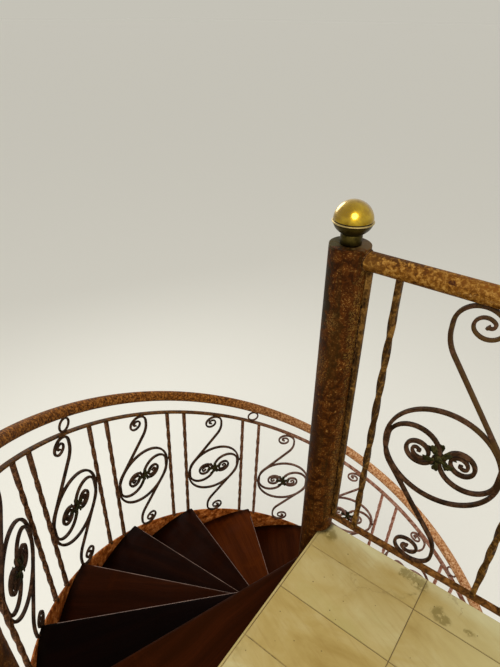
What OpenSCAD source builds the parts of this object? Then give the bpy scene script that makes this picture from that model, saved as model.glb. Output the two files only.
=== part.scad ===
// Spiral staircase round a tubular column, with forged scroll panels between pairs of twisted bars,
// and the square landing with its own guard at the top. Millimetres, floor at z = 0, column on the z axis.
// Places along the flight are given in treads down from the landing; the flight turns clockwise going down.

/* [Flight] */
// Height of one riser
rise = 198; // [170:1:215]
// Number of treads between the floor and the landing
treads = 14; // [10:1:16]
// Turn of one tread, in degrees
tread_turn = 21.4; // [18:0.1:24]
// Radius of the outer stringer plate
flight_r = 1000; // [850:10:1300]

/* [Column] */
// Outside diameter of the column tube
column_d = 102; // [89:1:140]
// Wall of the column tube
column_wall = 6; // [4:0.5:10]
// Height of the column's rounded cap above the middle of the landing handrail
cap_over = 38; // [34:1:120]
// Diameter of the round base flange
flange_d = 320; // [260:5:420]
// Thickness of the base flange
flange_t = 14; // [8:1:25]
// Diameter of the bolt circle in the base flange
flange_bolt_circle = 250; // [200:5:330]
// Diameter of the bolt holes
bolt_d = 14; // [10:1:20]
// Height of the stiffening ribs on the base flange
rib_h = 110; // [60:5:160]
// Height of the rounding at the column's cap
cap_h = 16; // [8:1:24]
// Diameter of the brass ball
ball_d = 94; // [70:1:120]
// Diameter of the neck under the ball
neck_d = 52; // [30:1:60]
// Height of the neck under the bowl
neck_h = 20; // [5:1:40]
// Depth of the shallow bowl under the ball's seam
bowl_h = 30; // [20:1:45]

/* [Treads] */
// Thickness of a wooden tread
tread_t = 38; // [28:1:50]
// Gap between a tread's rounded end and the stringer
tread_gap = 2; // [1:0.5:12]
// Distance of the nosing in front of the radial line
nosing_lead = 22; // [10:1:40]
// Distance of the back edge behind the radial line
back_lap = 24; // [10:1:40]
// Thickness of the plates of the tread bearers
bearer_t = 8; // [5:1:12]
// Width of the bearer's top flange
bearer_w = 60; // [40:5:90]
// Depth of the bearer's web at the column
bearer_root = 100; // [70:5:140]
// Depth of the bearer's web at the stringer
bearer_tip = 40; // [25:5:70]

/* [Stringer and rails] */
// Thickness of the stringer plate
stringer_t = 8; // [6:1:12]
// Height of the stringer plate
stringer_h = 280; // [250:5:320]
// Drop of the stringer's top edge below the line of the nosings
stringer_drop = 24; // [15:1:40]
// Height of the sub-rail's middle above the line of the nosings
sub_rail_up = 749; // [650:1:850]
// Width of the flat bars used as sub-rail and bottom rail
flat_w = 22; // [16:1:40]
// Thickness of the flat bars used as sub-rail and bottom rail
flat_t = 9; // [6:1:14]
// Height of the stair handrail's middle above the sub-rail's middle
rails_apart = 104; // [80:1:160]
// Outside diameter of the handrail tube
handrail_d = 48; // [38:1:60]
// Thickness of the bar of the rings between the two rails
ring_bar = 9; // [6:1:14]
// Outside diameter of the newels at both ends of the flight
newel_d = 48; // [42:1:76]
// Wall of the handrail and newel tubes
tube_wall = 3.2; // [2:0.1:5]

/* [Balusters] */
// Width of the twisted square bars
twist_w = 15; // [10:1:18]
// Number of full turns of each twisted bar
twist_turns = 2; // [1:1:6]
// Length of the plain part at each end of a twisted bar
plain_end = 80; // [20:5:150]
// Distance from one pair of bars to the next, in treads
bay = 1.139; // [1:0.001:1.3]
// Distance between the two bars of a pair, in treads
pair = 0.25; // [0.15:0.01:0.35]
// Place of the first pair, in treads below the landing
first_pair = 0.384; // [0.3:0.001:0.5]
// Distance of a bar's foot up the stair from its top, in treads
foot_lead = 0.07; // [0:0.01:0.12]

/* [Scroll panels] */
// Thickness of the forged bar in the plane of the panel
scroll_t = 10.5; // [6:0.5:14]
// Depth of the forged bar across the plane of the panel
scroll_d = 12; // [8:1:18]
// Radius of the middle line of the rings in the landing guard
ring_r = 148; // [120:1:150]
// Distance of the rings' middle below the middle of the bars
ring_drop = 11; // [0:1:20]
// Radius of the outer half turn of the big volutes in the landing guard
volute_r = 57; // [40:1:60]
// Radius of the outer half turn of the big volutes in the stair's panels
stair_volute_r = 47; // [36:1:56]
// Thickness of one leaf of the rosette
leaf_t = 5; // [3:1:8]
// Length of one leaf of the rosette
leaf_l = 42; // [30:1:60]

/* [Landing] */
// Distance between the bolts along the landing's wall edge
edge_bolt_x = 800; // [500:10:850]
// Distance between the two rows of bolts in the landing's wall edge
edge_bolt_z = 50; // [30:1:60]
// Length of the landing along its guard
landing_l = 1120; // [900:10:1600]
// Thickness of the slab with its tiles
slab_t = 60; // [40:5:90]
// Depth of the steel channels under the slab
channel_h = 120; // [80:10:180]
// Width of the channels' flanges
channel_w = 55; // [40:5:80]
// Thickness of the channels' plates
channel_t = 7; // [5:1:10]
// Height of the landing handrail's middle above the landing
guard_up = 978; // [900:1:1100]
// Height of the bottom rail's middle above the landing
bottom_rail_up = 58; // [40:1:80]
// Width of a scroll bay in the landing guard, between bar centres
guard_bay = 375; // [330:1:420]
// Place of the first bar of the landing guard, from the column's axis
guard_first = 133; // [90:1:180]
// Distance between the two bars of a pair in the landing guard
guard_pair = 80; // [60:1:120]
// Width of the square bars at both ends of the landing guard
stile_w = 14; // [12:1:24]

/* [Hidden] */
$fn = 64;
seat = 0.3;
land_z = (treads + 1) * rise;
column_r = column_d / 2;
newel_r = newel_d / 2;
ball_r = ball_d / 2;
column_over = guard_up + cap_over;
handrail_up = sub_rail_up + rails_apart;
column_top = land_z + column_over - cap_h;
ball_z = land_z + column_over + neck_h + bowl_h;
rail_r = handrail_d / 2;
slope = rise / (flight_r * tread_turn * PI / 180);
slope_a = atan(slope);
landing_x = 28;
landing_w = flight_r + column_r + 8.5;
upper_newel_top = land_z + handrail_up + handrail_d / 2 + 8;
slab_lip = 12;
run_start = asin((column_r + seat) / flight_r) / tread_turn;
pairs = floor((treads + 0.15 - first_pair) / bay) + 1;
last_pair = first_pair + (pairs - 1) * bay;
foot_at = last_pair + pair / 2 + 0.25;
run_end = foot_at - asin((newel_r + seat) / flight_r) / tread_turn;
parts_of_run = 3;
rail_steps = 26;
run_step = (run_end - run_start) * tread_turn / parts_of_run / rail_steps;
stringer_reach = (flight_r - stringer_t / 2) * cos(run_step / 2) - seat;
foot_lean = flight_r * sin(foot_lead * tread_turn);
ring_places = [for (t = [0.5, 3.35, 6.11, 9.53, 12.5]) if (t < foot_at - 0.5) t];
panels_a_node = 3;

function turn(t) = -90 - t * tread_turn;
function at(r, a) = [r * cos(a), r * sin(a)];
function polar(r, a, z) = [r * cos(a), r * sin(a), z];
function nosing_z(t) = land_z - t * rise;
function pad(n) = n < 10 ? str("0", n) : str(n);

TREADS = [for (n = [1:treads]) str("tread_", pad(n))];
STRINGERS = [for (n = [1:parts_of_run]) str("stringer_", n)];
HANDRAILS = [for (n = [1:parts_of_run]) str("handrail_", n)];
SUB_RAILS = [for (n = [1:parts_of_run]) str("sub_rail_", n)];
PANELS = [for (n = [1:ceil((pairs - 1) / panels_a_node)]) str("stair_panels_", n)];

// Column
module base_flange() {
    color("saddlebrown") difference() {
        union() {
            cylinder(d = flange_d, h = flange_t);
            for (a = [45:90:315]) rotate(a) translate([0, bearer_t / 2, flange_t]) rotate([90, 0, 0])
                linear_extrude(bearer_t)
                    polygon([[column_r / 2, -1], [flange_d / 2 - 12, -1], [flange_d / 2 - 12, 10],
                             [column_r + 8, rib_h], [column_r / 2, rib_h]]);
        }
        translate([0, 0, flange_t]) cylinder(r = column_r + seat, h = rib_h + 1);
        for (a = [0:90:270]) rotate(a) translate([flange_bolt_circle / 2, 0, -1])
            cylinder(d = bolt_d, h = flange_t + 2);
    }
}

module column() {
    color("sienna") translate([0, 0, flange_t]) difference() {
        cylinder(r = column_r, h = column_top - flange_t);
        translate([0, 0, -1]) cylinder(r = column_r - column_wall, h = column_top - flange_t + 2);
    }
}

module rounded_cap() {
    plug_r = column_r - column_wall - seat;
    rotate_extrude() polygon(concat([[0, -12], [plug_r, -12], [plug_r, 0]],
        [for (a = [0:15:90]) [column_r - cap_h * (1 - cos(a)), cap_h * sin(a)]], [[0, cap_h]]));
}

module column_cap() {
    color("saddlebrown") translate([0, 0, column_top]) rounded_cap();
}

// The ball is spun in two halves that meet in a raised seam
module finial_base() {
    low_a = -acos(neck_d / ball_d);
    color("darkolivegreen") translate([0, 0, ball_z]) rotate_extrude()
        polygon(concat([[0, -neck_h - bowl_h], [neck_d / 2, -neck_h - bowl_h]],
            [for (k = [0:7]) let (a = low_a * (1 - k / 8)) [ball_r * cos(a), -bowl_h * sin(a) / sin(low_a)]],
            [[ball_r, -3], [ball_r + 2.5, -2], [ball_r + 2.5, 0], [0, 0]]));
}

module finial_ball() {
    color("goldenrod") translate([0, 0, ball_z]) rotate_extrude()
        polygon(concat([[0, 0], [ball_r + 2, 0], [ball_r + 2, 2], [ball_r, 3]],
            [for (a = [7.5:7.5:82.5]) [ball_r * cos(a), ball_r * sin(a)]], [[0, ball_r]]));
}

// Treads
module tread_plan(lead, lap, r) {
    far = r * 1.2;
    back = at(lap, tread_turn + 90);
    difference() {
        intersection() {
            circle(r = r, $fn = 360);
            polygon([[0, -lead], [far, -lead], back + at(far, tread_turn), back]);
        }
        circle(r = column_r + seat);
    }
}

module nosing_profile() {
    round_r = tread_t / 2;
    polygon(concat([[flight_r, -tread_t], [flight_r, 0]],
        [for (a = [90:22.5:270]) [round_r * (1 + cos(a)), round_r * (sin(a) - 1)]]));
}

// The plan is cut by a bar profile that gives the front edge its round nosing
module tread(n) {
    color("maroon") translate([0, 0, n * rise]) rotate(turn(treads + 1 - n)) intersection() {
        translate([0, 0, -tread_t]) linear_extrude(tread_t)
            tread_plan(nosing_lead, back_lap, stringer_reach - tread_gap);
        translate([0, -nosing_lead, 0]) rotate([90, 0, 90]) linear_extrude(flight_r) nosing_profile();
    }
}

module bearer_web() {
    rotate([90, 0, 0]) linear_extrude(bearer_t, center = true)
        polygon([[column_r / 2, 0], [column_r / 2, -bearer_root], [column_r + 30, -bearer_root],
                 [stringer_reach, -bearer_tip], [stringer_reach, 0]]);
}

// One bearer: a tapered web under a flange that reaches the stringer
module bearer() {
    flange_l = sqrt(stringer_reach ^ 2 - bearer_w ^ 2 / 4) - column_r / 2;
    difference() {
        union() {
            bearer_web();
            translate([column_r / 2, -bearer_w / 2, -bearer_t]) cube([flange_l, bearer_w, bearer_t]);
        }
        translate([0, 0, -bearer_root - 1]) cylinder(r = column_r + seat, h = bearer_root + 2);
    }
}

module tread_bearers() {
    color("peru") for (n = [1:treads])
        translate([0, 0, n * rise - tread_t - seat])
            rotate(turn(treads + 1 - n) + tread_turn / 2) bearer();
}

// A band of points swept down the flight: the section is given as [outward, up] corners
module helical_bar(t0, t1, steps, section, up) {
    m = len(section);
    ts = [for (k = [0:steps]) t0 + (t1 - t0) * k / steps];
    points = [for (t = ts) for (s = section)
        polar(flight_r + s[0], turn(t), max(0, nosing_z(t) + up + s[1]))];
    sides = [for (k = [0:steps - 1]) for (i = [0:m - 1]) let (j = (i + 1) % m, p = k * m, q = p + m)
        each [[p + i, p + j, q + i], [p + j, q + j, q + i]]];
    polyhedron(points = points, convexity = 8,
        faces = concat([[for (i = [m - 1:-1:0]) i]], sides, [[for (i = [0:m - 1]) steps * m + i]]));
}

function run_at(k) = run_start + (run_end - run_start) * k / parts_of_run;

module stringer(k) {
    h = stringer_h;
    w = stringer_t / 2;
    color("chocolate") helical_bar(run_at(k - 1), run_at(k), rail_steps,
        [[-w, 0], [-w, -h], [w, -h], [w, 0]], -stringer_drop);
}

module handrail(k) {
    color("chocolate") helical_bar(run_at(k - 1), run_at(k), rail_steps,
        [for (i = [0:11]) [rail_r * cos(-30 * i), rail_r * sin(-30 * i) / cos(slope_a)]], handrail_up);
}

module sub_rail(k) {
    w = flat_w / 2;
    h = flat_t / 2 / cos(slope_a);
    color("saddlebrown") helical_bar(run_at(k - 1), run_at(k), rail_steps,
        [[-w, h], [-w, -h], [w, -h], [w, h]], sub_rail_up);
}

// Rings stand upright between the sub-rail and the handrail
module rail_rings() {
    gap = rails_apart * cos(slope_a) - rail_r - flat_t / 2;
    mid = (handrail_up - rail_r / cos(slope_a) + sub_rail_up + flat_t / 2 / cos(slope_a)) / 2;
    color("sienna") for (t = ring_places)
        translate(polar(flight_r, turn(t), nosing_z(t) + mid)) rotate([90, 0, turn(t) + 90])
            rotate_extrude($fn = 48) translate([gap / 2 - seat - ring_bar / 2, 0])
                square(ring_bar, center = true);
}

// A twisted square bar from height z0 to z1, with plain ends cut parallel to sloping rails.
// Its foot stands lean further along +Y than its top.
module twisted_bar(z0, z1, tilt, lean) {
    steps = 12 * twist_turns;
    c = twist_w / sqrt(2);
    foot = (plain_end - ring_drop) / (z1 - z0);
    twisted = 1 - 2 * plain_end / (z1 - z0);
    levels = concat([[0, 0]], [for (k = [0:steps]) [foot + twisted * k / steps, k / steps]], [[1, 1]]);
    last = len(levels) - 1;
    points = [for (l = levels) for (i = [0:3])
        let (a = 45 + 90 * i + 360 * twist_turns * l[1], y = c * sin(a) + lean * (1 - l[0]))
        [c * cos(a), y, z0 + (z1 - z0) * l[0] + tilt * y]];
    polyhedron(points = points, convexity = 4,
        faces = concat([[0, 1, 2, 3]],
            [for (k = [0:last - 1]) for (i = [0:3]) let (j = (i + 1) % 4, p = 4 * k, q = 4 * k + 4)
                each [[p + i, q + i, p + j], [p + j, q + i, q + j]]],
            [[for (i = [3:-1:0]) 4 * last + i]]));
}

module stair_balusters() {
    under = sub_rail_up - flat_t / 2 / cos(slope_a) - seat;
    color("rosybrown") for (k = [0:pairs - 1]) for (side = [-1, 1]) {
        t = first_pair + k * bay + side * pair / 2;
        translate(polar(flight_r, turn(t), nosing_z(t))) rotate(turn(t))
            twisted_bar(seat - stringer_drop, under, slope, foot_lean);
    }
}

// Forged scroll work is drawn flat, as arcs and straight lengths of one bar that grows thinner
// towards its ends. A length runs anticlockwise from a0 to a1 and laps a little into the one it grows from.
lap = 1.5;
thinner = 0.35;
tip_t = scroll_t - 4.5 * thinner;
volute_shift = 0.08;

module forged_arc(c, r, a0, a1, w) {
    far = r + scroll_t;
    half = (a1 - a0) / 2;
    translate(c) intersection() {
        difference() {
            circle(r = r + w / 2, $fn = 96);
            circle(r = r - w / 2, $fn = 96);
        }
        if (half <= 45) polygon([[0, 0], at(far * 2, a0), at(far * 2, a1)]);
        else polygon([[0, 0], at(far, a0), at(far * 2, a0 + half / 2), at(far * 2, a1 - half / 2), at(far, a1)]);
    }
}

module forged_bar(p, q, w) {
    d = q - p;
    translate(p) rotate(atan2(d[1], d[0])) translate([-lap, -w / 2]) square([norm(d) + lap, w]);
}

// Half turns of shrinking radius, each starting where the one before ends, even ones over the top
module volute(start, radii, w, k = 0) {
    if (k < len(radii)) {
        r = radii[k];
        e = lap / r * 180 / PI;
        over = k % 2 == 0;
        c = start + [over ? r : -r, 0];
        forged_arc(c, r, over ? 0 : 180, over ? 180 + e : 360 + e, w);
        volute(start + [over ? 2 * r : -2 * r, 0], radii, w - thinner, k + 1);
    }
}

// One long scroll: the side of the ring, the arc to its middle, the diagonal and the volute at the top,
// whose later half turns are set round by volute_a
module long_scroll(ring, reach, turn_r) {
    w = scroll_t - thinner;
    side_x = ring - scroll_t * 0.66;
    inner_r = side_x / 2;
    bend = 0.29 * reach;
    sweep = 0.25 * reach;
    side_y = 36;
    plumb = 0.045 * reach;
    volute_a = 45;
    volute_x = (volute_shift - 1) * turn_r;
    c1 = [volute_x + bend, reach - plumb];
    c2 = [side_x - sweep, side_y];
    gap = c1 - c2;
    a = asin((bend + sweep) / norm(gap)) - atan2(gap[0], gap[1]);
    forged_bar([side_x, 0], [side_x, side_y], scroll_t);
    forged_arc([side_x - inner_r, 0], inner_r, 180, 360 + lap / inner_r * 180 / PI, w);
    forged_arc(c2, sweep, -lap / sweep * 180 / PI, a, w);
    forged_bar(c2 + sweep * at(1, a), c1 - bend * at(1, a), w - thinner);
    forged_arc(c1, bend, 180, 180 + a + lap / bend * 180 / PI, w - 2 * thinner);
    forged_bar([volute_x, reach - plumb], [volute_x, reach], w - 3 * thinner);
    translate([volute_x + turn_r, reach]) {
        forged_arc([0, 0], turn_r, volute_a, 180 + lap / turn_r * 180 / PI, tip_t);
        rotate(volute_a) volute([turn_r, 0], [1, 0.6, 0.42, 0.16] * turn_r, tip_t - thinner, 1);
    }
}

module small_scroll() {
    forged_bar([0, 0], [15, 7], scroll_t);
    volute([14, 6], [37, 30, 22, 12], scroll_t - thinner);
}

module leaf() {
    polygon([for (p = [[0.1, -0.12], [0.4, -0.24], [0.8, -0.27], [1, -0.15], [0.92, 0],
                       [1, 0.15], [0.8, 0.27], [0.4, 0.24], [0.1, 0.12]]) leaf_l * p]);
}

module rosette() {
    for (side = [-1, 1]) translate([0, 0, side * (scroll_d / 2 + leaf_t / 2 - 0.5)])
        linear_extrude(leaf_t, center = true) for (a = [52:72:340]) rotate(a) leaf();
    cylinder(r = 13, h = scroll_d + 2 * leaf_t + 1, center = true);
}

// A panel round its ring of middle radius ring, with volutes of radius turn_r centred at the reaches,
// the upper one first
module scroll_panel(ring, reaches, turn_r) {
    rotate([90, 0, 0]) {
        linear_extrude(scroll_d, center = true) {
            difference() {
                circle(r = ring + scroll_t / 2, $fn = 96);
                circle(r = ring - scroll_t / 2, $fn = 96);
            }
            for (half = [0, 1]) rotate(180 * half) {
                long_scroll(ring, reaches[half], turn_r);
                small_scroll();
            }
            circle(r = 14);
        }
        rosette();
    }
}

// Each panel leans with the bars on its two sides
module stair_panel(k) {
    half_turn = (bay - pair) / 2 * tread_turn;
    low = seat - stringer_drop;
    high = sub_rail_up - flat_t / 2 / cos(slope_a) - seat;
    above = (high - low) / 2 + ring_drop;
    t = first_pair + (k + 0.5) * bay - foot_lead * above / (high - low);
    lean_a = atan(foot_lean / (high - low));
    off = volute_shift * stair_volute_r * (slope * cos(lean_a) - sin(lean_a));
    reaches = [for (h = [above, high - low - above])
        (h - (stair_volute_r + tip_t / 2) / cos(slope_a) + off) / (cos(lean_a) + slope * sin(lean_a))];
    ring = flight_r * sin(half_turn) * cos(lean_a) - twist_w / 2 - scroll_t / 2 - 1;
    translate(polar(flight_r * (1 + cos(half_turn)) / 2, turn(t), nosing_z(t) + high - above))
        rotate([0, -lean_a, turn(t) + 90]) scroll_panel(ring, reaches, stair_volute_r);
}

module stair_panels(n) {
    color("black") for (k = [(n - 1) * panels_a_node : min(n * panels_a_node, pairs - 1) - 1])
        stair_panel(k);
}

// A tubular newel, open below and closed by a low cap
module newel(z0, z1, foot_r) {
    w = newel_r - tube_wall;
    rotate_extrude() polygon([[w, z0], [foot_r, z0], [foot_r, z0 + 8], [newel_r, z0 + 8], [newel_r, z1],
        [newel_r + 3, z1], [newel_r + 3, z1 + 4], [newel_r - 4, z1 + 10], [0, z1 + 12], [0, z1], [w, z1]]);
}

module lower_newel() {
    color("sienna") translate(polar(flight_r, turn(foot_at), 0))
        newel(0, nosing_z(foot_at) + handrail_up + rail_r + 25, newel_r + 30);
}

// The upper newel is a length of the column's tube at the landing's outer corner
module upper_newel() {
    low = land_z - slab_t - channel_h;
    color("sienna") translate([0, -flight_r, 0]) difference() {
        translate([0, 0, low]) cylinder(r = column_r, h = upper_newel_top - low);
        translate([0, 0, low - 1]) cylinder(r = column_r - column_wall, h = upper_newel_top - low + 2);
    }
}

module upper_newel_cap() {
    color("saddlebrown") translate([0, -flight_r, upper_newel_top]) rounded_cap();
}

// Landing
module landing_slab() {
    color("khaki") difference() {
        translate([landing_x, -landing_w, land_z - slab_t])
            cube([landing_l, landing_w + slab_lip, slab_t]);
        for (y = [0, -flight_r])
            translate([0, y, land_z - slab_t - 1]) cylinder(r = column_r + seat, h = slab_t + 2);
    }
}

// A channel of length l along +X, its web on y = 0 and its flanges towards +Y
module channel(l) {
    rotate([90, 0, 90]) linear_extrude(l)
        polygon([[0, 0], [channel_w, 0], [channel_w, channel_t], [channel_t, channel_t],
                 [channel_t, channel_h - channel_t], [channel_w, channel_h - channel_t],
                 [channel_w, channel_h], [0, channel_h]]);
}

module landing_frame() {
    l = landing_l;
    w = landing_w + slab_lip;
    color("sienna") translate([landing_x, -landing_w, land_z - slab_t - seat - channel_h]) difference() {
        union() {
            channel(l);
            translate([l, w, 0]) rotate(180) channel(l);
            translate([0, w, 0]) rotate(-90) channel(w);
            translate([l, 0, 0]) rotate(90) channel(w);
            for (x = [l / 3, 2 * l / 3]) translate([x, channel_t, 0]) rotate(90)
                channel(w - 2 * channel_t);
        }
        for (y = [0, -flight_r])
            translate([-landing_x, y + landing_w, -1]) cylinder(r = column_r + seat, h = channel_h + 2);
        for (x = [-1, 1], z = [-1, 1]) rotate([-90, 0, 0])
            translate([(l + x * edge_bolt_x) / 2, -(channel_h + z * edge_bolt_z) / 2, -1])
                cylinder(d = bolt_d, h = channel_t + 2);
    }
}

guard_end = guard_first + 2 * guard_bay + guard_pair + 70;

module landing_handrail() {
    color("chocolate") translate([0, 0, land_z + guard_up]) difference() {
        rotate([0, 90, 0]) cylinder(r = rail_r, h = guard_end + 45);
        rotate([0, 90, 0]) cylinder(r = rail_r - tube_wall, h = guard_end + 45 - tube_wall);
        cylinder(r = column_r + seat, h = handrail_d * 2, center = true);
    }
}

module landing_bottom_rail() {
    color("saddlebrown") difference() {
        translate([0, -flat_w / 2, land_z + bottom_rail_up - flat_t / 2])
            cube([guard_end - stile_w / 2 - seat, flat_w, flat_t]);
        translate([0, 0, land_z]) cylinder(r = column_r + seat, h = bottom_rail_up * 2);
    }
}

module guard_stiles() {
    low = bottom_rail_up + flat_t / 2 + seat;
    high = guard_up - sqrt(rail_r ^ 2 - (stile_w / 2) ^ 2) - seat;
    color("saddlebrown") {
        translate([column_r + seat, -stile_w / 2, land_z + low]) cube([stile_w, stile_w, high - low]);
        translate([guard_end - stile_w / 2, -stile_w / 2, land_z]) cube([stile_w, stile_w, high]);
    }
}

module landing_balusters() {
    low = land_z + bottom_rail_up + flat_t / 2 + seat;
    high = land_z + guard_up - rail_r - seat;
    color("rosybrown") for (x = [0, guard_bay, guard_bay + guard_pair, 2 * guard_bay + guard_pair])
        translate([guard_first + x, 0, 0]) twisted_bar(low, high, 0, 0);
}

module landing_panels() {
    low = bottom_rail_up + flat_t / 2 + seat;
    high = guard_up - rail_r - seat;
    reach = (high - low) / 2 - volute_r - tip_t / 2;
    color("black") for (x = [guard_bay / 2, guard_bay * 1.5 + guard_pair])
        translate([guard_first + x, 0, land_z + (high + low) / 2 - ring_drop])
            scroll_panel(ring_r, [reach + ring_drop, reach - ring_drop], volute_r);
}

base_flange();
column();
column_cap();
finial_base();
finial_ball();
for (n = [1:treads]) tread(n);
tread_bearers();
for (n = [1:parts_of_run]) stringer(n);
for (n = [1:parts_of_run]) handrail(n);
for (n = [1:parts_of_run]) sub_rail(n);
rail_rings();
stair_balusters();
for (n = [1:len(PANELS)]) stair_panels(n);
lower_newel();
upper_newel();
upper_newel_cap();
landing_slab();
landing_frame();
landing_handrail();
landing_bottom_rail();
landing_balusters();
landing_panels();
guard_stiles();
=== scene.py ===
import random
from math import acos, asin, atan, atan2, ceil, cos, degrees, pi, radians, sin, sqrt

import bmesh
import bpy
from mathutils import Matrix, Vector


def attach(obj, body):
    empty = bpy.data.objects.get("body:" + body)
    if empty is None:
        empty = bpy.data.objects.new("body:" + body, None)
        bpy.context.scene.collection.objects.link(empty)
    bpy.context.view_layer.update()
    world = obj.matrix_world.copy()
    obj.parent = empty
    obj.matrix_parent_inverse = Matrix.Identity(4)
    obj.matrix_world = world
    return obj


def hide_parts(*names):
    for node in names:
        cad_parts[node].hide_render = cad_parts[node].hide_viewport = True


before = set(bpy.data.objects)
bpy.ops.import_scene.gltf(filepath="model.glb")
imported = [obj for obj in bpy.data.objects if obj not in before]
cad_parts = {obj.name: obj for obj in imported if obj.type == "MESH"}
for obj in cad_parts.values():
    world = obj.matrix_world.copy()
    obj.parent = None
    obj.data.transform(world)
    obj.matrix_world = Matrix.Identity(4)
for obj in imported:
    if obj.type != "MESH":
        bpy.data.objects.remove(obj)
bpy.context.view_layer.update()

studio = bpy.context.scene

# Sizes of the staircase, as its source has them, in metres; TURN is the angle from tread to tread
RISE, TREADS, TURN, FLIGHT = 0.198, 14, radians(21.4), 1.0
LAND = (TREADS + 1) * RISE
POST, TUBE, NEWEL = 0.051, 0.024, 0.024
TREAD_T, TREAD_GAP, LEAD, LAP = 0.038, 0.002, 0.022, 0.024
STRINGER_T, STRINGER_H, STRINGER_DROP = 0.008, 0.28, 0.024
SUB_RAIL_UP, HANDRAIL_UP, FLAT_W, FLAT_T = 0.749, 0.853, 0.022, 0.009
TWIST_W, PLAIN_END, BAY, PAIR, FIRST_PAIR, PAIRS, FOOT_LEAD = 0.015, 0.08, 1.139, 0.25, 0.384, 13, 0.07
SCROLL_T, SCROLL_D, RING, RING_DROP = 0.0105, 0.012, 0.148, 0.011
VOLUTE, STAIR_VOLUTE, VOLUTE_SHIFT = 0.057, 0.047, 0.08
SLAB_X, SLAB_L, SLAB_W, SLAB_T, SLAB_LIP = 0.028, 1.12, 1.0595, 0.06, 0.012
GUARD_UP, BOTTOM_UP, GUARD_BAY, GUARD_FIRST, GUARD_PAIR, STILE = 0.978, 0.058, 0.375, 0.133, 0.08, 0.014
COLUMN_TOP, BALL, NECK, NECK_H, BOWL_H = LAND + 1.016, 0.047, 0.026, 0.02, 0.03
BALL_Z, DISC_TOP = COLUMN_TOP + NECK_H + BOWL_H, COLUMN_TOP - 0.008
SEAT = 0.0003
SLOPE = RISE / (FLIGHT * TURN)
SLOPE_A = atan(SLOPE)
PLUMB_TUBE, PLUMB_FLAT = TUBE / cos(SLOPE_A), FLAT_T / 2 / cos(SLOPE_A)
VOLUTE_T = SCROLL_T - 4.5 * 0.00035
FOOT = FIRST_PAIR + (PAIRS - 1) * BAY + PAIR / 2 + 0.25
BAR_PLACES = [FIRST_PAIR + k * BAY + side * PAIR / 2 for k in range(PAIRS) for side in (-1, 1)]
RINGS = (0.5, 3.35, 6.11, 9.53, 12.5)
FOOT_LEAN = FLIGHT * sin(FOOT_LEAD * TURN)
RUN = (asin((POST - 0.004) / FLIGHT) / TURN, FOOT - asin((NEWEL - 0.004) / FLIGHT) / TURN)
TREAD_R = 0.99542 - SEAT - TREAD_GAP
GUARD_BARS = [GUARD_FIRST + x for x in (0, GUARD_BAY, GUARD_BAY + GUARD_PAIR, 2 * GUARD_BAY + GUARD_PAIR)]
GUARD_END = GUARD_FIRST + 2 * GUARD_BAY + GUARD_PAIR + 0.07


def turn(t):
    return -pi / 2 - t * TURN


def polar(r, a, z=0.0):
    return Vector((r * cos(a), r * sin(a), z))


def spot(x=0.0, y=0.0, z=0.0):
    return Vector((x, y, z))


def spun(angle, axis="Z"):
    return Matrix.Rotation(angle, 4, axis)


def on_flight(t, up, r=FLIGHT):
    """A place on the flight, t treads down from the landing and so far above the line of the nosings."""
    return polar(r, turn(t), LAND - t * RISE + up)


# Node boards
class Flow:
    """A node's outlet. Arithmetic lays Math nodes, and a name or a number picks another outlet of the node."""

    def __init__(self, board, node, place=0):
        self.board, self.node, self.socket = board, node, node.outputs[place]

    def __getitem__(self, place):
        return Flow(self.board, self.node, place)

    def __getattr__(self, name):
        return self[name.replace("_", " ")]

    def __abs__(self):
        return self.board.sum("ABSOLUTE", self)


SIGNS = {"add": "ADD", "sub": "SUBTRACT", "mul": "MULTIPLY", "truediv": "DIVIDE", "pow": "POWER"}
for sign, operation in SIGNS.items():
    setattr(Flow, f"__{sign}__", lambda one, other, done=operation: one.board.sum(done, one, other))
    setattr(Flow, f"__r{sign}__", lambda one, other, done=operation: one.board.sum(done, other, one))


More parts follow.
